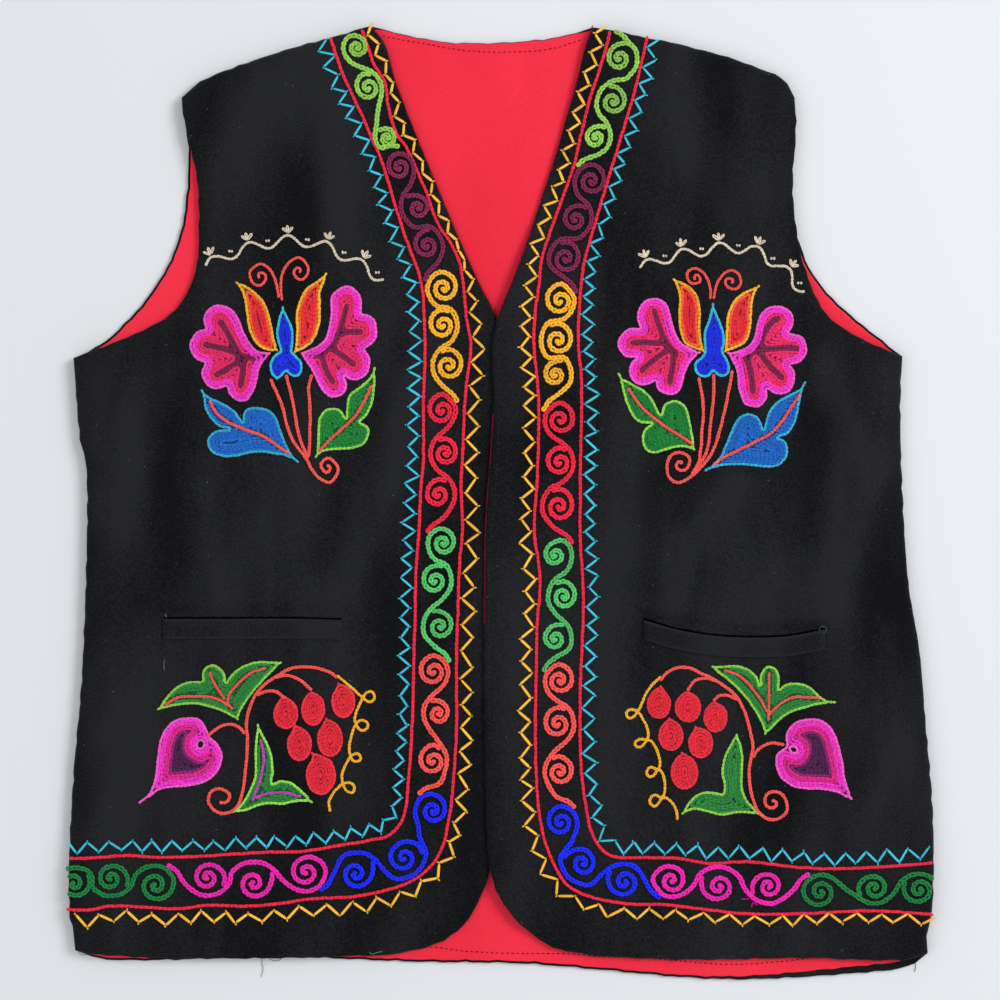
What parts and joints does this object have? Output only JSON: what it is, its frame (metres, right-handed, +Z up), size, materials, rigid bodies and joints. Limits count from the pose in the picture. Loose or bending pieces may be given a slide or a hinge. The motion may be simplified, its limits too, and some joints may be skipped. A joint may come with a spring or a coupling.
{
  "type": "embroidered folk vest",
  "caption": "Sleeveless open-front velvet vest with V neck, cutaway corners, cotton lining, welt pockets and chain-stitch embroidery, laid flat.",
  "frame": {"origin": "centre of the bounding box on the surface that the vest lies on, under the back panel", "axes": "+Y from the hem to the neck, +Z up out of the surface, +X towards the wearer's left side"},
  "size_m": [0.545, 0.601, 0.0116],
  "materials": {
    "velvet_shell": "black cotton velvet with a brushed nap",
    "red_lining": "red plain-weave cotton",
    "velvet_welt": "black cotton velvet, worn a little at the fold",
    "embroidery": "coloured chain-stitch embroidery thread"
  },
  "bodies": {
    "root": {"back_shell": "velvet_shell", "back_lining": "red_lining", "right_front_shell": "velvet_shell", "right_front_lining": "red_lining", "right_pocket_welt": "velvet_welt", "left_front_shell": "velvet_shell", "left_front_lining": "red_lining", "left_pocket_welt": "velvet_welt"}
  },
  "joints": []
}
